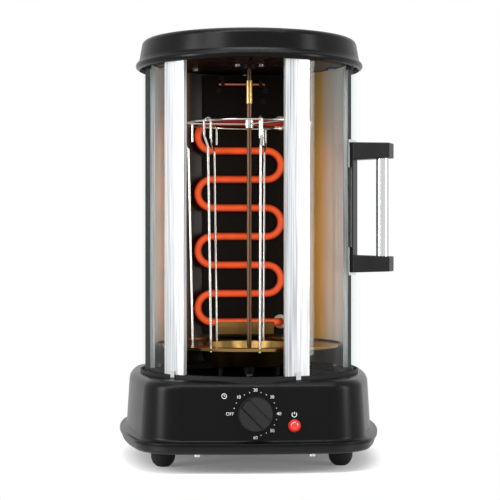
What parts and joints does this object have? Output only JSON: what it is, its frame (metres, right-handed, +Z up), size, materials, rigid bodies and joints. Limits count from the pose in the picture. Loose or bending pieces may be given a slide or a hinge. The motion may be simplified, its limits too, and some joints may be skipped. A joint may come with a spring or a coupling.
{
  "type": "electric skewer grill",
  "caption": "Upright electric grill: hooked skewers hang from a turning ring beside a heating coil, in a round chamber with a curved sliding glass door, timer knob and drip dish.",
  "frame": {"origin": "on the table plane, on the axis the skewers turn about", "axes": "+Z up, -Y out of the front face with the knob, +X to the right of the front face"},
  "size_m": [0.2938, 0.271, 0.4549],
  "materials": {
    "base_paint": "satin black enamel",
    "base_plastic": "satin black moulded plastic",
    "dark_plastic": "matte black heat-proof plastic",
    "knob_plastic": "half-gloss black plastic",
    "white_plastic": "natural white heat-proof plastic",
    "foot_rubber": "matte black rubber",
    "zinc_steel": "bright zinc-plated steel",
    "polished_steel": "polished stainless steel",
    "shell_paint": "satin black enamel on sheet steel",
    "panel_paint": "dark heat-proof finish",
    "brushed_aluminium": "vertically brushed aluminium",
    "clear_glass": "clear tempered glass",
    "lamp_red": "glossy translucent red plastic",
    "heater_metal": "sheathed element, glowing orange-red",
    "ceramic": "unglazed white ceramic",
    "copper_tube": "copper",
    "brass_tube": "brass"
  },
  "bodies": {
    "base": {"base_housing": "base_paint", "base_plate": "base_plastic", "rubber_feet": "foot_rubber", "foot_nuts": "zinc_steel", "base_screws": "zinc_steel", "timer_body": "dark_plastic", "timer_screws": "zinc_steel", "lamp_holder": "dark_plastic", "lamp_lens": "lamp_red", "lamp_bulb": "clear_glass", "cord_gland": "dark_plastic", "terminal_block": "white_plastic", "motor_body": "zinc_steel", "motor_strap": "zinc_steel", "motor_screws": "zinc_steel", "floor_pan": "polished_steel", "floor_buffers": "foot_rubber", "lower_track": "dark_plastic", "upper_track": "dark_plastic", "rear_shell": "shell_paint", "chamber_screws": "zinc_steel", "liner": "polished_steel", "door_jambs": "brushed_aluminium", "door_seals": "foot_rubber", "heater_panel": "panel_paint", "panel_screws": "zinc_steel", "heater_element": "heater_metal", "heater_bushes": "ceramic", "heater_support": "polished_steel", "sensor_rod": "copper_tube", "rod_clips": "zinc_steel", "left_post": "brushed_aluminium", "left_pane": "clear_glass", "post_guides": "polished_steel", "lid": "base_paint", "lid_pan": "polished_steel", "top_bearing": "white_plastic"},
    "door": {"door_stile": "brushed_aluminium", "door_pane": "clear_glass", "door_guides": "polished_steel", "handle_blocks": "base_plastic", "handle_tube": "polished_steel", "handle_backplate": "base_plastic", "handle_pads": "polished_steel"},
    "carousel": {"motor_shaft": "zinc_steel", "drive_hub": "dark_plastic", "centre_shaft": "polished_steel", "shaft_collar": "brass_tube", "drip_dish": "polished_steel", "dish_nut": "zinc_steel", "skewer_ring": "polished_steel"},
    "timer": {"timer_knob": "knob_plastic", "timer_shaft": "zinc_steel"},
    "skewer_body_1": {"skewer_1": "polished_steel"},
    "skewer_body_2": {"skewer_2": "polished_steel"},
    "skewer_body_3": {"skewer_3": "polished_steel"},
    "skewer_body_4": {"skewer_4": "polished_steel"},
    "skewer_body_5": {"skewer_5": "polished_steel"},
    "skewer_body_6": {"skewer_6": "polished_steel"},
    "skewer_body_7": {"skewer_7": "polished_steel"}
  },
  "joints": [
    {"name": "door_swing", "type": "hinge", "parent": "base", "child": "door", "pos_m": [0, 0, 0.26], "axis": [0, 0, 1], "range_deg": [-52.5, 60]},
    {"name": "carousel_spin", "type": "hinge", "parent": "base", "child": "carousel", "pos_m": [0, 0, 0.26], "axis": [0, 0, 1], "continuous": true},
    {"name": "timer_turn", "type": "hinge", "parent": "base", "child": "timer", "pos_m": [0, -0.12372, 0.0615], "axis": [0, 0.9981, -0.061], "range_deg": [-45, 225]},
    {"name": "skewer_lift_1", "type": "slide", "parent": "carousel", "child": "skewer_body_1", "axis": [0, 0, 1], "range_m": [0, 0.014]},
    {"name": "skewer_lift_2", "type": "slide", "parent": "carousel", "child": "skewer_body_2", "axis": [0, 0, 1], "range_m": [0, 0.014]},
    {"name": "skewer_lift_3", "type": "slide", "parent": "carousel", "child": "skewer_body_3", "axis": [0, 0, 1], "range_m": [0, 0.014]},
    {"name": "skewer_lift_4", "type": "slide", "parent": "carousel", "child": "skewer_body_4", "axis": [0, 0, 1], "range_m": [0, 0.014]},
    {"name": "skewer_lift_5", "type": "slide", "parent": "carousel", "child": "skewer_body_5", "axis": [0, 0, 1], "range_m": [0, 0.014]},
    {"name": "skewer_lift_6", "type": "slide", "parent": "carousel", "child": "skewer_body_6", "axis": [0, 0, 1], "range_m": [0, 0.014]},
    {"name": "skewer_lift_7", "type": "slide", "parent": "carousel", "child": "skewer_body_7", "axis": [0, 0, 1], "range_m": [0, 0.014]}
  ]
}
